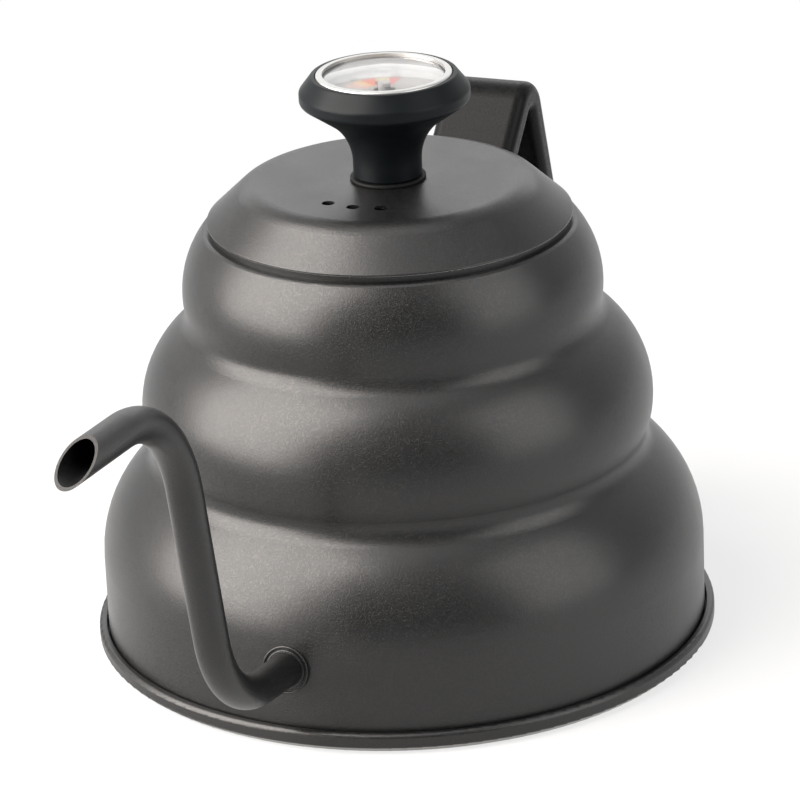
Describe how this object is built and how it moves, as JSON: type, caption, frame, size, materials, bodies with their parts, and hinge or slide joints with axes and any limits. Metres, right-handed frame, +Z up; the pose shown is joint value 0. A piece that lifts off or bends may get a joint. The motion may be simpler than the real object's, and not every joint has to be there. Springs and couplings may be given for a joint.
{
  "type": "gooseneck kettle",
  "caption": "Gooseneck pour-over kettle: bulged steel body, thin bent spout, strap handle and a lift-off lid with a dial thermometer in its knob.",
  "frame": {"origin": "on the axis of the body, on the surface that the kettle stands on", "axes": "+Z up along the axis of the body, +X towards the spout, -X towards the handle"},
  "size_m": [0.2597, 0.144, 0.1353],
  "materials": {
    "coated_steel": "satin metallic coating",
    "bare_steel": "brushed",
    "knob_plastic": "satin",
    "black_rubber": "matt",
    "dial_paint": "printed matt paint",
    "clear_cover": "polished",
    "bright_ring": "polished",
    "bush_brass": "turned",
    "bimetal_strip": "rolled",
    "needle_paint": "matt paint"
  },
  "bodies": {
    "kettle_body": {"base_plate": "bare_steel", "bottom_pan": "coated_steel", "body_shell": "coated_steel", "mouth_ring": "coated_steel", "spout_tube": "coated_steel", "spout_collar": "coated_steel", "handle_left_half": "coated_steel", "handle_right_half": "coated_steel", "handle_upper_lug": "bare_steel", "handle_lower_lug": "bare_steel"},
    "lid_assembly": {"lid_shell": "coated_steel", "lid_skirt": "bare_steel", "knob": "knob_plastic", "knob_gasket": "black_rubber", "knob_stud": "bare_steel", "nut_washer": "bare_steel", "knob_nut": "bare_steel", "thermometer_case": "bare_steel", "dial_face": "dial_paint", "lens_gasket": "black_rubber", "lens": "clear_cover", "bezel_ring": "bright_ring", "probe_stem": "bare_steel", "tip_plug": "bare_steel", "stem_bush": "bush_brass", "bimetal_coil": "bimetal_strip"},
    "pointer_set": {"pointer_shaft": "bare_steel", "pointer": "needle_paint"}
  },
  "joints": [
    {"name": "lid_lift", "type": "slide", "parent": "kettle_body", "child": "lid_assembly", "axis": [0, 0, 1], "range_m": [0, 0.11]},
    {"name": "pointer_turn", "type": "hinge", "parent": "lid_assembly", "child": "pointer_set", "pos_m": [0, 0, 0.129], "axis": [0, 0, -1], "range_deg": [-54, 216], "stiffness_Nm_per_rad": 0.0001}
  ]
}
